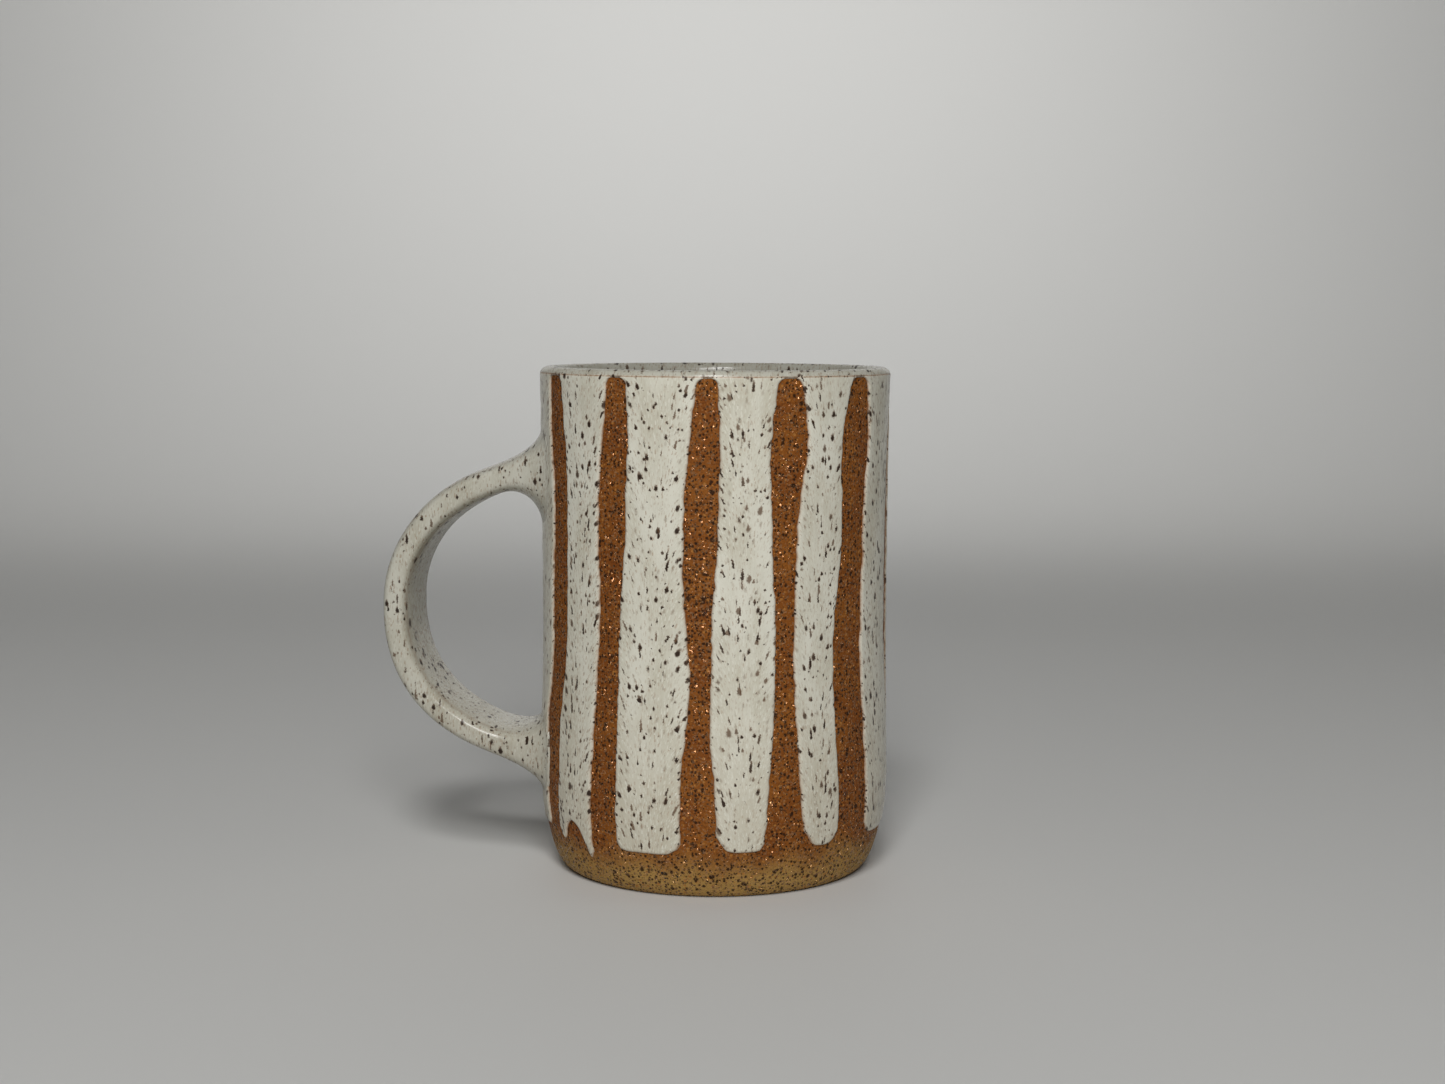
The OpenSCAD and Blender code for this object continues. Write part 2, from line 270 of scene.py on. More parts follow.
def lip_glaze(material):
    """Glaze dipped over the lip, rounded off at its lower edge and feathered into the inner glaze."""
    edge, lap = LIP_S + LIP_EDGE, clay.inside(LAP_Z)
    s = np.concatenate([
        np.linspace(edge, edge + EDGE_ROUND, 8),
        np.linspace(edge + EDGE_ROUND, lap, 54)[1:],
        np.linspace(lap, lap + LAP, 8)[1:]])
    lifts = []
    for place in s:
        if place < edge + EDGE_ROUND:
            lifts.append(GLAZE_T - (GLAZE_T + EDGE_SINK) * ((edge + EDGE_ROUND - place) / EDGE_ROUND) ** 2)
        elif place < lap:
            across = (place - edge) / (lap - edge)
            lifts.append(GLAZE_T + (LINER_T - GLAZE_T) * across * across * (3 - 2 * across))
        else:
            lifts.append(LINER_T - (LINER_T + EDGE_SINK) * ((place - lap) / LAP) ** 2)
    face = coat_line(s, lifts)
    back = coat_line(s[::-4], [-UNDER] * len(s[::-4]))
    bm = turn(face + back)
    lay_on(bm)
    thinness(bm, lambda p: lip_break(p.z) if math.hypot(p.x, p.y) > LIP_MIDDLE else 0)
    return finish_mesh(bm, "lip_glaze", material, "speckled_glaze", "rim_glaze")


def inner_glaze(material):
    """Glaze poured inside, from its feathered top down to the middle of the floor."""
    lap = clay.inside(LAP_Z)
    s = np.concatenate([np.linspace(lap - LAP, lap, 8), np.linspace(lap, clay.run[-1], 90)[1:]])
    lifts = [LINER_T - (LINER_T + EDGE_SINK) * max(0, (lap - place) / LAP) ** 2 for place in s]
    face = coat_line(s, lifts) + [(0, FLOOR_Z + LINER_T)]
    back = [(0, FLOOR_Z - UNDER)] + coat_line(s[::-4], [-UNDER] * len(s[::-4]))
    bm = turn(face + back + [face[0]], 200)
    lay_on(bm)
    thinness(bm, lambda p: 0)
    return finish_mesh(bm, "inner_glaze", material, "speckled_glaze", "liner_glaze")


# ---------------------------------------------------------------- brushed stripes

class StripeEdges:
    """Feels for the edges of a CAD stripe, unrolled flat round the angle of its middle."""

    def __init__(self, node):
        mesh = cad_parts[node].data
        middle = sum((v.co for v in mesh.vertices), Vector()) / len(mesh.vertices)
        self.middle = math.atan2(middle.y, middle.x)
        flat = []
        for v in mesh.vertices:
            angle = math.remainder(math.atan2(v.co.y, v.co.x) - self.middle, math.tau)
            z = v.co.z / MM
            lift = math.hypot(v.co.x, v.co.y) / MM - clay.wall_radius(z)
            flat.append(Vector((math.degrees(angle), z, lift)))
        self.tree = BVHTree.FromPolygons(flat, [tuple(f.vertices) for f in mesh.polygons])
        self.low = min(v.y for v in flat)

    def feel(self, start, direction):
        """Where a straight probe first meets the stripe, or None."""
        return self.tree.ray_cast(Vector(start), Vector(direction))[0]

    def side(self, sign, levels):
        """Angle of one side, in degrees from the middle, at each level."""
        found = [self.feel((sign * 60, min(z, LIP_Z - 0.1), GLAZE_T / 2), (-sign, 0, 0)) for z in levels]
        return [None if hit is None else hit.x for hit in found]

    def end(self, angles):
        """Height of the lower end at each angle."""
        found = [self.feel((a, -20, GLAZE_T / 2), (0, 1, 0)) for a in angles]
        return [None if hit is None else hit.y for hit in found]


def filled(values):
    """The values with each missing one taken from its nearest neighbour."""
    known = [i for i, v in enumerate(values) if v is not None]
    return np.array([values[min(known, key=lambda k: abs(k - i))] for i in range(len(values))])


def softened(values, reach):
    """A row of numbers softened over a reach, in places along the row."""
    half = int(3 * reach)
    weights = np.exp(-0.5 * (np.arange(-half, half + 1) / reach) ** 2)
    padded = np.pad(values, half, mode="reflect", reflect_type="odd")
    return np.convolve(padded, weights / weights.sum(), "valid")


def bead(distance):
    """How full the glaze stands at a distance in from its edge, from 0 to 1."""
    return np.sqrt(1 - (1 - np.clip(distance / BEAD, 0, 1)) ** 2)


def gap_tops(stripes):
    """Width of the bare gap on each side of each stripe, just under the lip, in mm."""
    ends = [[stripe.middle + math.radians(stripe.side(sign, [LIP_Z - 1])[0]) for sign in (-1, 1)]
            for stripe in stripes]
    after = [(ends[(k + 1) % len(ends)][0] - ends[k][1]) % math.tau * clay.wall_radius(WAIST_Z)
             for k in range(len(ends))]
    return [(after[k - 1], after[k]) for k in range(len(ends))]


def straight_down(felt, levels, low):
    """A side's angles, carried straight on below the level where it turns into the lower end."""
    k = int(np.searchsorted(levels, low + TOE_SEARCH))
    while k > 0 and abs(felt[k - 1] - felt[k]) < TOE_JUMP:
        k -= 1
    return np.where(np.arange(len(felt)) < k, felt[k], felt)


def brush_stripe(number, node, edges, gaps, material):
    """One stripe of glaze: a grid laid between the brushed edges, from its dripped end to the lip."""
    levels = np.append(np.arange(edges.low, LIP_Z - 2, 0.5), np.linspace(LIP_Z - 2, LIP_Z + LIP_EDGE, 24))
    mid_r = clay.wall_radius(WAIST_Z)
    sides = []
    for sign, gap in zip((-1, 1), gaps):
        # The glaze rounds the gap's top off like an arch
        arch_r = min(ARCH_R, 0.45 * gap)
        felt = softened(straight_down(filled(edges.side(sign, levels)), levels, edges.low), 3)
        rough = np.array([
            sum(far * noise.noise(Vector((z / over, number * by_stripe, sign * by_side)))
                for far, over, by_stripe, by_side in EDGE_WANDER)
            for z in levels])
        arch = np.clip(levels - (LIP_Z + LIP_EDGE - arch_r), 0, arch_r * 0.999)
        flare = arch_r - np.sqrt(arch_r ** 2 - arch ** 2)
        sides.append(felt + sign * np.degrees((rough + flare) / mid_r))
    ends_at = np.linspace(sides[0][0] + 0.1, sides[1][0] - 0.1, 160)
    ends = softened(filled(edges.end(ends_at)), 1.0)
    end_x, end_s = np.radians(ends_at) * mid_r, np.interp(ends, clay.rise, clay.rise_run)
    top = LIP_S + LIP_EDGE + TUCK

    columns, rows = 40, 300
    bm = bmesh.new()
    thin = bm.verts.layers.float.new("thin")
    lean = bm.verts.layers.float.new("lean")
    flow = bm.verts.layers.float_vector.new("flow")
    bmesh.ops.create_grid(bm, x_segments=columns, y_segments=rows, size=1)
    raised = bmesh.ops.extrude_face_region(bm, geom=bm.faces[:], use_keep_orig=True)["geom"]
    front = {g for g in raised if isinstance(g, bmesh.types.BMVert)}
    x, y = np.array([v.co.xy for v in bm.verts]).T
    is_front = np.array([v in front for v in bm.verts])

    # Crowded towards the sides, the lower end and the lip, where the glaze rounds off
    u = np.copysign(1 - (1 - np.abs(x)) ** 2, x)
    w = (y + 1) / 2
    w -= 0.75 * np.sin(math.tau * w) / math.tau
    # The lower end is found first, then the sides at the height that follows
    low_left, low_right = sides[0][0], sides[1][0]
    z_low = np.interp(low_left + (low_right - low_left) * (u + 1) / 2, ends_at, ends)
    s_low = np.interp(z_low, clay.rise, clay.rise_run)
    s = s_low + (top - s_low) * w
    z = clay.at(s)[1]
    left, right = (np.interp(z, levels, side) for side in sides)
    local = np.radians(left + (right - left) * (u + 1) / 2)
    turned = edges.middle + local
    from_side = (1 - np.abs(u)) * np.radians(right - left) / 2 * mid_r
    from_end = np.hypot(local[:, None] * mid_r - end_x, s[:, None] - end_s).min(axis=1)
    from_end = np.minimum(from_end, s - s_low)
    lift = (GLAZE_T + BRUSHED_SINK) * bead(from_side) * bead(from_end) - BRUSHED_SINK
    lift -= (lift + UNDER * 0.8) * np.clip((s - LIP_S - LIP_EDGE - EDGE_ROUND) / DIVE, 0, 1) ** 2
    places = on_clay(turned, s, np.where(is_front, lift, -UNDER))
    thins = np.maximum(0, 1 - np.minimum(from_side, from_end) / THIN_REACH)
    thins = np.maximum(thins, lip_break(places[:, 2] / MM))
    leans = LEAN * np.copysign(np.abs(u) ** 1.5, u)
    flows = np.column_stack([turned * mid_r, s, np.full(len(s), number * 3.1)])
    for v, co, thin_at, lean_at, flow_at in zip(bm.verts, places, thins, leans, flows):
        v.co = co
        v[thin] = thin_at
        v[lean] = lean_at
        v[flow] = flow_at
    for edge in bm.edges:
        edge.smooth = len({v in front for v in edge.verts}) == 1 and not edge_of_sheet(edge, front)
    return finish_mesh(bm, "brushed_" + node.removeprefix("glaze_"), material, "speckled_glaze", node)


def edge_of_sheet(edge, front):
    """True where an edge lies between a coat's face or back and its narrow side."""
    return any(len({v in front for v in face.verts}) == 2 for face in edge.link_faces)


# ---------------------------------------------------------------- pulled handle

UPPER_Z = sum(corner.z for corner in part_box("upper_slip_joint")) / 2 / MM
LOWER_Z = sum(corner.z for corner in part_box("lower_slip_joint")) / 2 / MM
# Width and thickness of the clay strap at the grip
STRAP_W, STRAP_T = 24.5, 5.8
GRIP_X = -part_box("handle")[0].x / MM - STRAP_T / 2
SPAN = UPPER_Z - LOWER_Z
GRIP_Z = LOWER_Z + 0.53 * SPAN
# How far each stretch of the strap's curve pulls, as shares of its reach (out) and of the span (up and down)
UPPER_OUT, UPPER_DROP = 0.74, 0.03
GRIP_PULL_UP, GRIP_PULL_DOWN = 0.175, 0.07
LOWER_OUT, LOWER_RISE = 1.04, 0.065
# How far inside the wall the curve starts and ends
BURIED = 5
# Length over which a root swells into the wall, and how much wider it grows on each side
ROOT_LENGTH = 13.0
ROOT_WIDER = 5.2
# How far the upper root (True) and the lower one swell up and down on the wall, and over what length
ROOT_UP = {True: (6.9, 13.0), False: (6.7, 13.0)}
ROOT_DOWN = {True: (10.6, 10.0), False: (5.6, 13.0)}
# The strap is a little thicker on the shoulder of its upper arm
SHOULDER_X = 60.0
SHOULDER_T = 0.5
SHOULDER_REACH = 9.0
# The section is a rounded rectangle: a superellipse of this power
SECTION = 2 / 4
# How far the strap starts inside the wall, and its points round and along
ROOT_SINK = 0.9
ROUND_STRAP, ALONG_STRAP = 72, 130
# Where the glaze breaks thin on the strap's long edges, as a share of its half thickness
RIDGE_AT, RIDGE_HALF, RIDGE_THIN = 0.72, 0.12, 0.8


def strap_path():
    """Points down the middle of the strap, from inside the wall at the upper root to the lower one."""
    upper_wall, lower_wall = clay.wall_radius(UPPER_Z), clay.wall_radius(LOWER_Z)
    reach = GRIP_X - clay.wall_radius(WAIST_Z)
    arms = (
        ((upper_wall - BURIED, UPPER_Z), (upper_wall + UPPER_OUT * reach, UPPER_Z - UPPER_DROP * SPAN),
         (GRIP_X, GRIP_Z + GRIP_PULL_UP * SPAN), (GRIP_X, GRIP_Z)),
        ((GRIP_X, GRIP_Z), (GRIP_X, GRIP_Z - GRIP_PULL_DOWN * SPAN),
         (lower_wall + LOWER_OUT * reach, LOWER_Z + LOWER_RISE * SPAN), (lower_wall - BURIED, LOWER_Z)))
    pts = []
    for arm in arms:
        p = [np.array(q) for q in arm]
        for t in np.linspace(0, 1, 400)[(1 if pts else 0):]:
            pts.append((1 - t) ** 3 * p[0] + 3 * t * (1 - t) ** 2 * p[1]
                       + 3 * t * t * (1 - t) * p[2] + t ** 3 * p[3])
    return np.array(pts)


def root_swell(distance, length=ROOT_LENGTH):
    """How much of a root's swelling is left at a distance from the wall: a quarter ellipse."""
    t = min(max(distance / length, 0), 1)
    return 1 - math.sqrt(1 - (1 - t) ** 2)


def strap(name, coat, material, slot, node):
    """The strap, a coat larger than the clay: rings of its section, swept and swollen into the wall."""
    path = strap_path()
    run = np.concatenate([[0], np.cumsum(np.hypot(*np.diff(path, axis=0).T))])
    slope = np.gradient(path, run, axis=0)
    clear = np.array([x - clay.wall_radius(z) for x, z in path]) - coat
    middle = int(np.argmax(clear))
    near = ROOT_LENGTH * np.linspace(0, 1, 26) ** 2.2
    starts = [-ROOT_SINK] + list(near)
    first = [float(np.interp(d, clear[:middle], run[:middle])) for d in starts]
    last = [float(np.interp(-d, -clear[middle:], run[middle:])) for d in starts][::-1]
    between = np.linspace(first[-1], last[0], ALONG_STRAP)[1:-1]
    places = first + list(between) + last

    bm = bmesh.new()
    thin = bm.verts.layers.float.new("thin")
    ring = bmesh.ops.create_circle(bm, cap_ends=True, segments=ROUND_STRAP, radius=1)["verts"]
    rings = [ring]
    edges = list({e for v in ring for e in v.link_edges})
    for _ in places[1:]:
        made = bmesh.ops.extrude_edge_only(bm, edges=edges)["geom"]
        edges = [g for g in made if isinstance(g, bmesh.types.BMEdge)
                 and all(v not in rings[-1] for v in g.verts)]
        new = {tuple(round(c, 5) for c in g.co): g for g in made if isinstance(g, bmesh.types.BMVert)}
        rings.append([new[tuple(round(c, 5) for c in v.co)] for v in ring])
    bmesh.ops.contextual_create(bm, geom=edges)

    turn_at = math.tau * np.arange(ROUND_STRAP) / ROUND_STRAP
    lobe = np.copysign(np.abs(np.cos(turn_at)) ** SECTION, np.cos(turn_at))
    side = np.copysign(np.abs(np.sin(turn_at)) ** SECTION, np.sin(turn_at))
    ridge = np.exp(-((np.abs(np.cos(turn_at)) - RIDGE_AT) / RIDGE_HALF) ** 2)
    for place, verts in zip(places, rings):
        x, z = (float(np.interp(place, run, path[:, k])) for k in (0, 1))
        sx, sz = (float(np.interp(place, run, slope[:, k])) for k in (0, 1))
        sx, sz = sx / math.hypot(sx, sz), sz / math.hypot(sx, sz)
        distance = float(np.interp(place, run, clear))
        upper = bool(place < run[middle])
        rise_up, rise_down = (rise * root_swell(distance, length) for rise, length in
                              (ROOT_UP[upper], ROOT_DOWN[upper]))
        swell = root_swell(distance)
        # Near a root each ring bends to keep one distance from the round wall
        settle = min(1, max(0, 1 - distance / ROOT_LENGTH)) ** 0.5 * (1 if upper else -1)
        hand = 0.1 * noise.noise(Vector((place / 14, 3.3, 0)))
        if upper:
            hand += SHOULDER_T * math.exp(-((x - SHOULDER_X) / SHOULDER_REACH) ** 2)
        wave = 0.12 * noise.noise(Vector((place / 5, 4, 0))) * np.sign(side)
        # The section's thick direction points up out of the upper arm
        rise = np.where((lobe > 0) == upper, rise_up, rise_down)
        thick = lobe * ((STRAP_T + hand) / 2 + coat + rise)
        wide = side * (STRAP_W / 2 + coat + wave + ROOT_WIDER * swell)
        px, pz = x - sz * thick, z + sx * thick
        for _ in range(4):
            wall = clay.at(np.interp(pz, clay.rise, clay.rise_run))[0]
            push = (distance - (np.hypot(px, wide) - wall - coat)) * settle
            px, pz = px + sx * push, pz + sz * push
        thin_at = RIDGE_THIN * ridge * (1 - swell) * min(1, max(0, distance / 4))
        for v, co, value in zip(verts, np.column_stack([-px, wide, pz]) * MM, thin_at):
            v.co = co
            v[thin] = value
    return finish_mesh(bm, name, material, slot, node)


# ---------------------------------------------------------------- shader helpers

class Board:
    """A node tree, with short calls that place a node and feed its sockets."""

    def __init__(self, tree):
        self.tree = tree

    def node(self, kind, feeds=None, **settings):
        made = self.tree.nodes.new(kind)
        for key, value in settings.items():
            setattr(made, key, value)
        for key, value in (feeds or {}).items():
            self.feed(made.inputs[key], value)
        return made

    def feed(self, socket, value):
        if isinstance(value, bpy.types.NodeSocket):
            self.tree.links.new(value, socket)
        else:
            socket.default_value = value

    def math(self, operation, *values):
        return self.node("ShaderNodeMath", dict(enumerate(values)), operation=operation).outputs[0]

    def vector(self, operation, *values):
        made = self.node("ShaderNodeVectorMath", dict(enumerate(values)), operation=operation)
        return made.outputs["Value" if operation in ("LENGTH", "DOT_PRODUCT", "DISTANCE") else "Vector"]

    def spread(self, value, low, high, to_low=0.0, to_high=1.0):
        """A value mapped smoothly from one range to another."""
        made = self.node("ShaderNodeMapRange", {"Value": value, "From Min": low, "From Max": high,
                                                "To Min": to_low, "To Max": to_high},
                         interpolation_type="SMOOTHSTEP")
        return made.outputs["Result"]

    def mix(self, factor, a, b, blend="MIX"):
        made = self.node("ShaderNodeMix", data_type="RGBA", blend_type=blend)
        self.feed(made.inputs[0], factor)
        self.feed(made.inputs[6], a)
        self.feed(made.inputs[7], b)
        return made.outputs[2]

    def noise(self, vector, scale, detail=2.0, roughness=0.5):
        return self.node("ShaderNodeTexNoise", {"Vector": vector, "Scale": scale, "Detail": detail,
                                                "Roughness": roughness})

    def scaled(self, vector, x, y, z):
        return self.vector("MULTIPLY", vector, (x, y, z))

    def same(self, value):
        """A vector with one value in all three places."""
        return self.node("ShaderNodeCombineXYZ", {"X": value, "Y": value, "Z": value}).outputs[0]

    def bump(self, relief):
        """The normal of a relief given in millimetres."""
        height = self.math("MULTIPLY", relief, MM)
        return self.node("ShaderNodeBump", {"Height": height, "Distance": 1.0, "Strength": 1.0}).outputs[0]


def shader_group(name, inputs, outputs):
    """An empty shader group with named sockets, and its board, inputs and outputs."""
    tree = bpy.data.node_groups.new(name, "ShaderNodeTree")
    for label, kind, value in inputs:
        socket = tree.interface.new_socket(label, in_out="INPUT", socket_type="NodeSocket" + kind)
        if value is not None:
            socket.default_value = value
    for label, kind in outputs:
        tree.interface.new_socket(label, in_out="OUTPUT", socket_type="NodeSocket" + kind)
    board = Board(tree)
    return tree, board, board.node("NodeGroupInput").outputs, board.node("NodeGroupOutput").inputs


def use_group(board, tree, **feeds):
    """Places a shader group, fed by socket name, and returns its outputs."""
    made = board.node("ShaderNodeGroup", node_tree=tree)
    for label, value in feeds.items():
        board.feed(made.inputs[label.capitalize()], value)
    return made.outputs


def speck_group():
    """Iron specks: leaning ellipses of varied size, one in some of the cells of a grid."""
    settings = (("Lean", 0.0), ("Spacing", 3.0), ("Length", 0.6), ("Width", 0.4), ("Share", 0.5),
                ("Softness", 0.2), ("Ragged", 0.1), ("Seed", 0.0))
    tree, b, i, o = shader_group(
        "iron_specks",
        [("Vector", "Vector", None)] + [(label, "Float", value) for label, value in settings],
        [("Mask", "Float"), ("Tone", "Float"), ("Tail", "Float")])
    wave = b.noise(i["Vector"], 2.4, 2.0, 0.6)
    shake = b.vector("SCALE", b.vector("SUBTRACT", wave.outputs["Color"], (0.5, 0.5, 0.5)))
    b.feed(shake.node.inputs["Scale"], i["Ragged"])
    at = b.vector("ADD", i["Vector"], shake)
    cell_at = b.vector("ADD", b.vector("DIVIDE", at, b.same(i["Spacing"])), b.same(i["Seed"]))
    cell = b.node("ShaderNodeTexVoronoi", {"Vector": cell_at, "Scale": 1.0, "Randomness": 0.9},
                  voronoi_dimensions="3D", feature="F1")
    gap = b.vector("SUBTRACT", cell_at, cell.outputs["Position"])
    away = b.node("ShaderNodeSeparateXYZ", {0: gap}).outputs
    sine, cosine = b.math("SINE", i["Lean"]), b.math("COSINE", i["Lean"])
    along = b.math("ADD", b.math("MULTIPLY", away["X"], sine), b.math("MULTIPLY", away["Y"], cosine))
    across = b.math("SUBTRACT", b.math("MULTIPLY", away["X"], cosine), b.math("MULTIPLY", away["Y"], sine))
    chance = b.node("ShaderNodeSeparateColor", {"Color": cell.outputs["Color"]}).outputs
    # Many small ones and a few large
    size = b.math("ADD", 0.5, b.math("MULTIPLY", 0.65, b.math("POWER", chance["Red"], 2.0)))
    size = b.math("DIVIDE", size, i["Spacing"])
    along = b.math("DIVIDE", along, b.math("MULTIPLY", size, i["Length"]))
    across = b.math("DIVIDE", across, b.math("MULTIPLY", size, i["Width"]))
    # Each tapers off towards its upper end
    across = b.math("DIVIDE", across, b.math("SUBTRACT", 1.0, b.math("MULTIPLY", 0.45, along)))
    mean = b.math("MULTIPLY", 0.5, b.math("ADD", i["Length"], i["Width"]))
    deep = b.math("DIVIDE", away["Z"], b.math("MULTIPLY", size, mean))
    reach = b.node("ShaderNodeCombineXYZ", {"X": along, "Y": across, "Z": deep}).outputs[0]
    begins, ends = (b.math(way, 1.0, i["Softness"]) for way in ("SUBTRACT", "ADD"))
    shape = b.spread(b.vector("LENGTH", reach), begins, ends, 1.0, 0.0)
    present = b.math("LESS_THAN", chance["Green"], i["Share"])
    b.feed(o["Mask"], b.math("MULTIPLY", shape, present))
    b.feed(o["Tone"], chance["Blue"])
    b.feed(o["Tail"], b.spread(along, -0.5, 0.9))
    return tree


def glitter_group():
    """Fused grains: small cells, some of them smooth and tipped each its own way."""
    tree, b, i, o = shader_group("glitter", [("Vector", "Vector", None), ("Spacing", "Float", 0.33)],
                                 [("Flake", "Float"), ("Tilt", "Vector")])
    cell_at = b.vector("DIVIDE", i["Vector"], b.same(i["Spacing"]))
    cell = b.node("ShaderNodeTexVoronoi", {"Vector": cell_at, "Scale": 1.0},
                  voronoi_dimensions="3D", feature="F1")
    other = b.node("ShaderNodeTexWhiteNoise", {"Vector": cell.outputs["Position"]}, noise_dimensions="3D")
    chance = b.node("ShaderNodeSeparateColor", {"Color": cell.outputs["Color"]}).outputs
    flake = b.math("GREATER_THAN", chance["Red"], 0.78)
    tilt = b.vector("SUBTRACT", other.outputs["Color"], (0.5, 0.5, 0.5))
    tilt = b.vector("MULTIPLY", tilt, b.same(flake))
    b.feed(o["Flake"], flake)
    b.feed(o["Tilt"], b.vector("MULTIPLY", tilt, (1.5, 1.5, 1.5)))
    return tree


# ---------------------------------------------------------------- materials

# The glaze: its body, warmer low down and darker there as painted shade, paler in the brush's feathering,
# and where it breaks thin
WHITE = (0.62, 0.59, 0.475, 1)
WHITE_LOW = (0.56, 0.51, 0.39, 1)
WHITE_PALE = (0.76, 0.74, 0.63, 1)
BREAK_TAN = (0.27, 0.13, 0.055, 1)
BREAK_PINK = (0.50, 0.40, 0.30, 1)
# Iron specks in the glaze: hearts and halos
SPECK_DARK = (0.032, 0.016, 0.008, 1)
SPECK_BROWN = (0.17, 0.085, 0.038, 1)
# The clay: toasted above, ochre at the foot, with its grains, sand and fused flakes
CLAY_WARM = (0.25, 0.080, 0.010, 1)
CLAY_RED = (0.195, 0.055, 0.007, 1)
CLAY_OCHRE = (0.42, 0.255, 0.075, 1)
CLAY_GRAIN = (0.022, 0.008, 0.002, 1)
CLAY_SHADE = (0.085, 0.028, 0.007, 1)
CLAY_LIGHT = (0.40, 0.165, 0.035, 1)
CLAY_SPARK = (0.56, 0.31, 0.16, 1)
CLAY_BLUE = (0.020, 0.022, 0.026, 1)
SLIP_BROWN = (0.16, 0.07, 0.03, 1)
PALE_FLOOR = (0.66, 0.656, 0.636, 1)
# Spacing, half length, half width, share and seed of the large, small and drawn-out iron specks, in mm
SPECKS = ((2.3, 0.84, 0.37, 0.58, 1.0), (1.4, 0.42, 0.24, 0.34, 2.0), (2.1, 1.50, 0.21, 0.34, 3.0))
# Spacing, half size, share, tint and seed of the grains in the clay, in mm
GRAINS = ((0.9, 0.32, 0.6, CLAY_LIGHT, 21.0), (0.8, 0.36, 0.85, CLAY_GRAIN, 22.0),
          (1.8, 0.52, 0.5, CLAY_GRAIN, 23.0))
# How dark each coat of glaze is painted beside the brushed one: the same glaze darkened as painted shade on
# the handle, the lip and inside the cup
BRUSHED_TONE = 1.0
DIPPED_PAINTED_SHADE = 0.74
RIM_PAINTED_SHADE = 0.74
INNER_PAINTED_SHADE = 0.54


def new_material(name, roughness, specular):
    """A material with its board and the Principled shader's inputs."""
    material = bpy.data.materials.new(name)
    material.use_nodes = True
    board = Board(material.node_tree)
    shader = material.node_tree.nodes["Principled BSDF"].inputs
    shader["Roughness"].default_value = roughness
    shader["Specular IOR Level"].default_value = specular
    return material, board, shader


def object_mm(board):
    """Object coordinates in millimetres."""
    place = board.node("ShaderNodeTexCoord").outputs["Object"]
    return board.node("ShaderNodeMapping", {"Vector": place, "Scale": (1000, 1000, 1000)}).outputs[0]


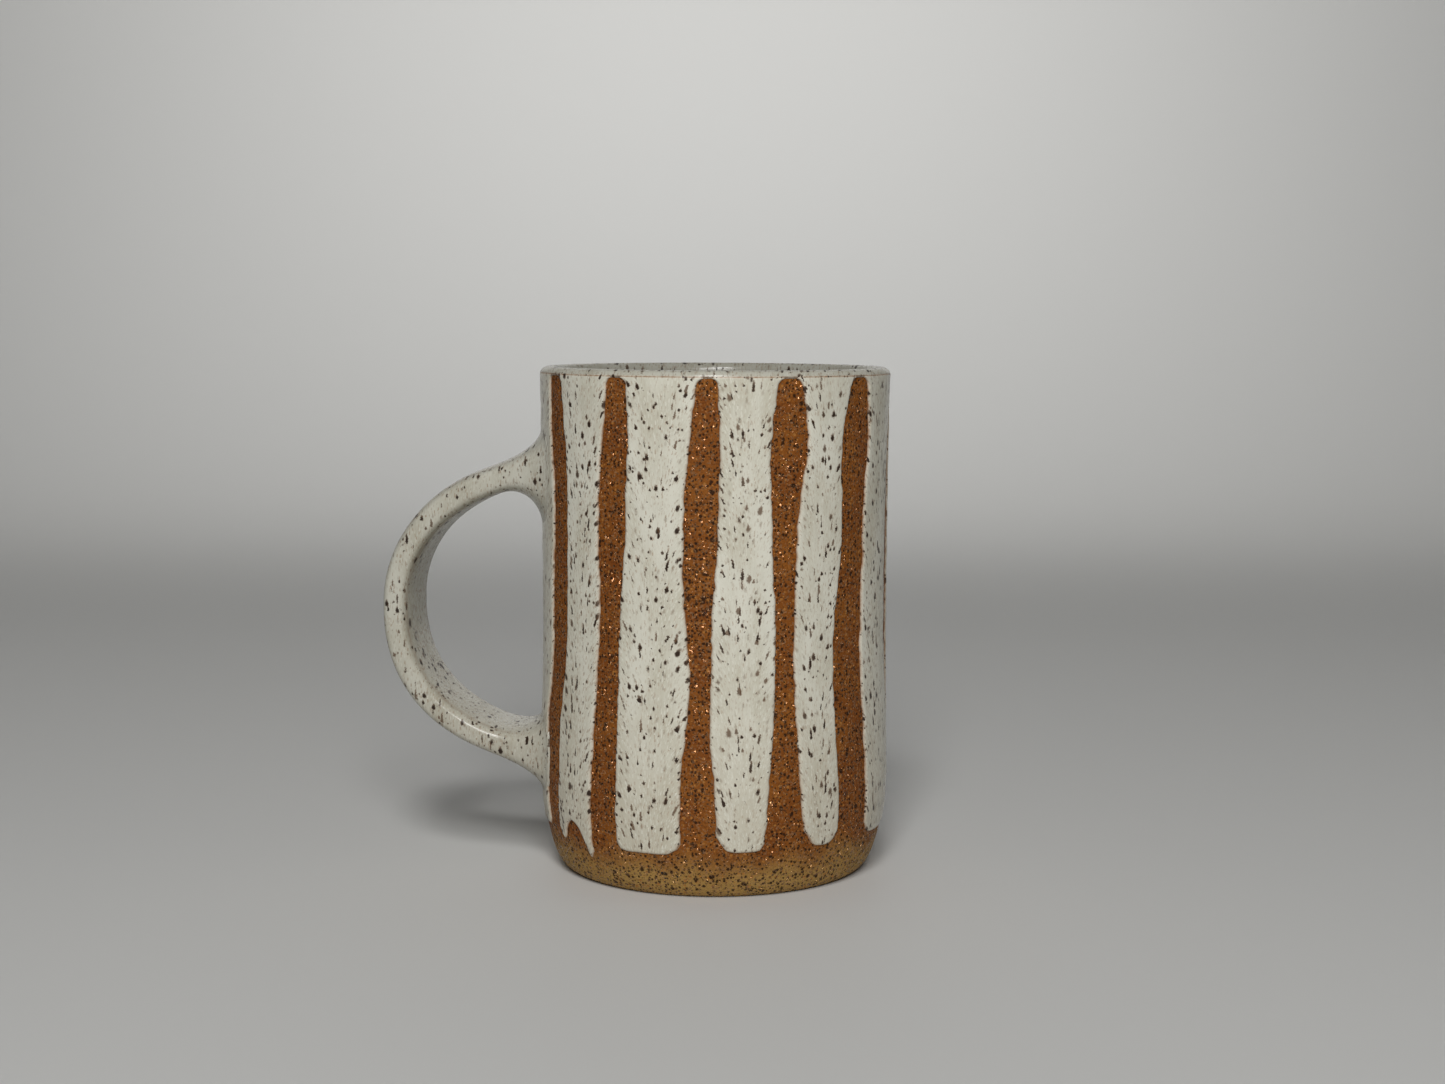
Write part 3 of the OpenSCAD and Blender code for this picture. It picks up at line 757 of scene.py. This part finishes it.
def glaze_material(name, specks, tone, brushed=False, painted_shade_inside=False):
    """Speckled white glaze. A brushed coat has its own flow and lean; the rest use the object's place."""
    material, b, shader = new_material(name, 0.2, 0.38)
    mm = object_mm(b)
    height = b.node("ShaderNodeSeparateXYZ", {0: mm}).outputs["Z"]
    thin = b.node("ShaderNodeAttribute", attribute_name="thin").outputs["Fac"]
    if brushed:
        flow = b.node("ShaderNodeAttribute", attribute_name="flow").outputs["Vector"]
        lean = b.node("ShaderNodeAttribute", attribute_name="lean").outputs["Fac"]
    else:
        upright = b.node("ShaderNodeMapping", {"Vector": mm, "Rotation": (math.radians(-90), 0, 0)})
        flow, lean = upright.outputs[0], 0.0

    # Body of the glaze: cloudy, warmer low down and darker there as painted shade, with brushed feathering
    cloud = b.noise(b.scaled(flow, 0.16, 0.05, 0.16), 1.0, 3.0).outputs["Fac"]
    colour = b.mix(b.spread(cloud, 0.3, 0.7), WHITE, WHITE_PALE)
    colour = b.mix(b.spread(height, 62, 8, 0.0, 0.55), colour, WHITE_LOW)
    for seed in (4.0, 5.0):
        dash = use_group(b, specks, vector=flow, lean=lean, spacing=0.8, length=0.95, width=0.13, share=1.0,
                         softness=0.7, ragged=0.3, seed=seed)
        darker = b.math("MULTIPLY", dash["Mask"], b.spread(dash["Tone"], 0.6, 0.0, 0.0, 1.0))
        colour = b.mix(darker, colour, BREAK_PINK)
        paler = b.math("MULTIPLY", dash["Mask"], b.spread(dash["Tone"], 0.4, 1.0, 0.0, 1.0))
        colour = b.mix(paler, colour, WHITE_PALE)

    # Thin glaze lets the clay's tan through, in a ragged fringe
    fringe = b.noise(b.scaled(flow, 1.1, 0.5, 1.1), 1.0, 3.0).outputs["Fac"]
    ragged_thin = b.math("ADD", thin, b.math("MULTIPLY", b.math("SUBTRACT", fringe, 0.5), 0.55))
    colour = b.mix(b.spread(ragged_thin, 0.35, 0.95, 0.0, 0.6), colour, BREAK_PINK)
    colour = b.mix(b.spread(ragged_thin, 0.75, 1.1, 0.0, 1.0), colour, BREAK_TAN)

    # Iron specks: sunk ones first, then brown halos with dark hearts
    sunk = use_group(b, specks, vector=flow, lean=lean, spacing=1.8, length=0.62, width=0.26, share=0.8,
                     softness=0.7, ragged=0.6, seed=11.0)
    colour = b.mix(b.math("MULTIPLY", sunk["Mask"], 0.45), colour, SPECK_BROWN)
    marks = 0.0
    for spacing, length, width, share, seed in SPECKS:
        halo = use_group(b, specks, vector=flow, lean=lean, spacing=spacing, length=length * 1.15,
                         width=width * 1.35, share=share, softness=0.35, ragged=0.7, seed=seed)
        heart = b.spread(halo["Mask"], 0.3, 0.95)
        heart = b.math("MULTIPLY", heart, b.spread(halo["Tone"], 0.1, 0.5, 0.25, 1.0))
        heart = b.math("MULTIPLY", heart, b.spread(halo["Tail"], 0.35, 1.0, 1.0, 0.25))
        colour = b.mix(b.math("MULTIPLY", halo["Mask"], 0.8), colour, SPECK_BROWN)
        colour = b.mix(heart, colour, SPECK_DARK)
        marks = b.math("MAXIMUM", marks, halo["Mask"])
    if brushed:
        # Small specks gather along a brushed edge
        strung = use_group(b, specks, vector=flow, lean=lean, spacing=1.0, length=0.3, width=0.22,
                           share=0.9, softness=0.3, ragged=0.5, seed=8.0)
        string = b.math("MULTIPLY", strung["Mask"], b.spread(thin, 0.4, 0.7))
        colour = b.mix(string, colour, SPECK_DARK)
    # Painted shade: a tone below one darkens the whole coat
    colour = b.mix(1.0, colour, (tone, tone, tone, 1), "MULTIPLY")
    if painted_shade_inside:
        # Painted shade: inside the cup the lip's coat darkens to the inner coat's painted shade
        radius = b.vector("LENGTH", b.scaled(mm, 1, 1, 0))
        inside = b.spread(radius, LIP_MIDDLE + LIP_R, LIP_MIDDLE - LIP_R)
        shade = INNER_PAINTED_SHADE / tone
        colour = b.mix(inside, colour, b.mix(1.0, colour, (shade, shade, shade, 1), "MULTIPLY"))
    b.feed(shader["Base Color"], colour)

    rough = b.math("ADD", b.spread(marks, 0.0, 1.0, 0.2, 0.36), b.spread(ragged_thin, 0.4, 1.0, 0.0, 0.18))
    b.feed(shader["Roughness"], rough)
    ripple = b.noise(b.scaled(flow, 0.42, 0.3, 0.42), 1.0, 2.0).outputs["Fac"]
    fine = b.noise(b.scaled(flow, 2.4, 1.4, 2.4), 1.0, 1.0).outputs["Fac"]
    relief = b.math("ADD", b.math("MULTIPLY", ripple, 0.07), b.math("MULTIPLY", fine, 0.008))
    relief = b.math("SUBTRACT", relief, b.math("MULTIPLY", marks, 0.02))
    b.feed(shader["Normal"], b.bump(relief))
    return material


def clay_material(name, specks, glitter):
    """Toasted stoneware: sandy, full of iron grains, paler and greyer at the foot."""
    material, b, shader = new_material(name, 0.7, 0.15)
    mm = object_mm(b)
    height = b.node("ShaderNodeSeparateXYZ", {0: mm}).outputs["Z"]
    patch = b.noise(mm, 0.10, 3.0).outputs["Fac"]
    sand = b.noise(mm, 1.7, 3.0, 0.75).outputs["Fac"]
    colour = b.mix(b.spread(patch, 0.3, 0.7), CLAY_WARM, CLAY_RED)
    wavy = b.math("ADD", height, b.math("MULTIPLY", b.math("SUBTRACT", patch, 0.5), 10.0))
    colour = b.mix(b.spread(wavy, 13.0, 3.0), colour, CLAY_OCHRE)
    colour = b.mix(b.spread(sand, 0.52, 0.72, 0.0, 0.65), colour, CLAY_LIGHT)
    colour = b.mix(b.spread(sand, 0.48, 0.30, 0.0, 0.75), colour, CLAY_SHADE)
    pits = 0.0
    for spacing, size, share, tint, seed in GRAINS:
        grain = use_group(b, specks, vector=mm, spacing=spacing, length=size * 1.1, width=size, share=share,
                          softness=0.3, ragged=0.4, seed=seed)
        colour = b.mix(b.math("MULTIPLY", grain["Mask"], 0.92), colour, tint)
        pits = b.math("MAXIMUM", pits, grain["Mask"])
    iron = use_group(b, specks, vector=mm, spacing=0.62, length=0.26, width=0.24, share=0.9, softness=0.25,
                     ragged=0.3, seed=24.0)
    cluster = b.spread(b.noise(mm, 0.22, 1.0).outputs["Fac"], 0.69, 0.73)
    # Blue-black iron shows in a few clusters only
    colour = b.mix(b.math("MULTIPLY", iron["Mask"], cluster), colour, CLAY_BLUE)

    flake = use_group(b, glitter, vector=mm)
    colour = b.mix(b.math("MULTIPLY", flake["Flake"], 0.4), colour, CLAY_SPARK)
    b.feed(shader["Base Color"], colour)
    coarse = b.noise(mm, 1.3, 3.0, 0.6).outputs["Fac"]
    relief = b.math("SUBTRACT", b.math("MULTIPLY", coarse, 0.16), b.math("MULTIPLY", pits, 0.05))
    tilt = b.vector("NORMALIZE", b.vector("ADD", b.bump(relief), flake["Tilt"]))
    b.feed(shader["Normal"], tilt)
    b.feed(shader["Roughness"], b.spread(flake["Flake"], 0.0, 1.0, 0.7, 0.18))
    b.feed(shader["Metallic"], b.math("MULTIPLY", flake["Flake"], 0.4))
    return material


# ---------------------------------------------------------------- room, lights and camera

def plain_material(name, colour, roughness):
    """A material of one colour, for the floor and for the slip that the joints hide."""
    material, _, shader = new_material(name, roughness, 0.3)
    shader["Base Color"].default_value = colour
    return material


# The camera stands this far from the cup's axis and this high, and is tipped down a little
CAMERA_AZIMUTH = math.radians(-84.5)
CAMERA_AWAY = 0.532717
CAMERA_UP = 0.134547
CAMERA_PITCH = 0.1037
CAMERA_YAW = 0.0035
CAMERA_ROLL = 0.0039
CAMERA_LENS = 54.536
# The floor runs from behind the camera to the foot of a backdrop that sweeps up, in metres
FLOOR_NEAR = -5.0
FLOOR_FAR = 0.9
FLOOR_HALF = 5.0
SWEEP_R = 0.5
BACKDROP_UP = 2.2


def studio_floor():
    """A pale floor that sweeps up into a backdrop."""
    bm = bmesh.new()
    sweep = [(FLOOR_FAR + SWEEP_R * math.sin(a), SWEEP_R - SWEEP_R * math.cos(a))
             for a in np.radians(np.linspace(0, 90, 16))]
    line = [(FLOOR_NEAR, 0.0)] + sweep + [(FLOOR_FAR + SWEEP_R, BACKDROP_UP)]
    turned = CAMERA_AZIMUTH + math.pi / 2
    across = Vector((math.cos(turned), math.sin(turned), 0))
    away = Vector((-math.sin(turned), math.cos(turned), 0))
    row = [bm.verts.new(away * y + Vector((0, 0, z)) - across * FLOOR_HALF) for y, z in line]
    edges = [bm.edges.new(pair) for pair in zip(row, row[1:])]
    made = bmesh.ops.extrude_edge_only(bm, edges=edges)["geom"]
    far_side = [g for g in made if isinstance(g, bmesh.types.BMVert)]
    bmesh.ops.translate(bm, vec=across * 2 * FLOOR_HALF, verts=far_side)
    for face in bm.faces:
        face.smooth = True
    mesh = bpy.data.meshes.new("studio_floor")
    bm.to_mesh(mesh)
    bm.free()
    mesh.materials.append(plain_material("pale_floor", PALE_FLOOR, 0.6))
    floor = bpy.data.objects.new("studio_floor", mesh)
    bpy.context.scene.collection.objects.link(floor)


def softbox(name, azimuth, elevation, distance, size, power, target=(0, 0, 0.06), spread=180):
    """An area light that faces its target from an azimuth (degrees from +X) and an elevation."""
    a, e = math.radians(azimuth), math.radians(elevation)
    target = Vector(target)
    place = target + distance * Vector((math.cos(a) * math.cos(e), math.sin(a) * math.cos(e), math.sin(e)))
    lamp = bpy.data.lights.new(name, "AREA")
    lamp.shape = "RECTANGLE"
    lamp.size, lamp.size_y = size
    lamp.energy = power
    lamp.spread = math.radians(spread)
    holder = bpy.data.objects.new(name, lamp)
    holder.location = place
    holder.rotation_euler = (target - place).to_track_quat("-Z", "Y").to_euler()
    bpy.context.scene.collection.objects.link(holder)


def place_camera():
    """The camera, level but for a slight tip, turn and roll."""
    view = bpy.data.cameras.new("camera")
    view.lens = CAMERA_LENS
    view.sensor_width = 36
    view.clip_start = 0.01
    turned = CAMERA_AZIMUTH + math.pi / 2 - CAMERA_YAW
    level = Matrix.Rotation(turned, 4, "Z")
    pitch = Matrix.Rotation(math.pi / 2 - CAMERA_PITCH, 4, "X")
    roll = Matrix.Rotation(CAMERA_ROLL, 4, "Z")
    place = Matrix.Translation((
        CAMERA_AWAY * math.cos(CAMERA_AZIMUTH), CAMERA_AWAY * math.sin(CAMERA_AZIMUTH), CAMERA_UP))
    holder = bpy.data.objects.new("camera", view)
    holder.matrix_world = place @ level @ pitch @ roll
    bpy.context.scene.collection.objects.link(holder)
    bpy.context.scene.camera = holder


def light_studio():
    """A high key, a soft fill in front, a light on the backdrop alone and a faint even sky."""
    world = bpy.data.worlds.new("studio")
    world.use_nodes = True
    world.node_tree.nodes["Background"].inputs["Color"].default_value = (0.93, 0.97, 1.0, 1)
    world.node_tree.nodes["Background"].inputs["Strength"].default_value = 0.05
    bpy.context.scene.world = world
    softbox("key", -90, 50, 1.3, (0.25, 0.25), 4.2)
    softbox("front_fill", -84, 32, 1.6, (0.6, 0.5), 12.2)
    softbox("backdrop_light", -84.5, 35, 1.2, (0.9, 0.5), 3.3, (-0.15, 1.5, 0.35), 110)
    bpy.context.scene.view_settings.view_transform = "Standard"


# ---------------------------------------------------------------- putting it together

specks = speck_group()
glitter = glitter_group()
stoneware = clay_material("toasted_stoneware", specks, glitter)
brushed_glaze = glaze_material("brushed_speckled_glaze", specks, BRUSHED_TONE, brushed=True)
dipped_glaze = glaze_material("dipped_speckled_glaze", specks, DIPPED_PAINTED_SHADE)
rim_glaze = glaze_material("rim_speckled_glaze", specks, RIM_PAINTED_SHADE, painted_shade_inside=True)
poured_glaze = glaze_material("poured_speckled_glaze", specks, INNER_PAINTED_SHADE)
slip = plain_material("joint_slip", SLIP_BROWN, 0.8)

thrown_cup(stoneware)
lip_glaze(rim_glaze)
inner_glaze(poured_glaze)
stripe_edges = [StripeEdges(node) for node in STRIPES]
for number, (node, edges, gaps) in enumerate(zip(STRIPES, stripe_edges, gap_tops(stripe_edges))):
    brush_stripe(number, node, edges, gaps, brushed_glaze)
strap("pulled_strap", 0, stoneware, "stoneware", "handle")
strap("strap_glaze", GLAZE_T, dipped_glaze, "speckled_glaze", "handle_glaze")
for node in ("upper_slip_joint", "lower_slip_joint"):
    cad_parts[node].data.materials.clear()
    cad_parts[node].data.materials.append(slip)

studio_floor()
light_studio()
place_camera()
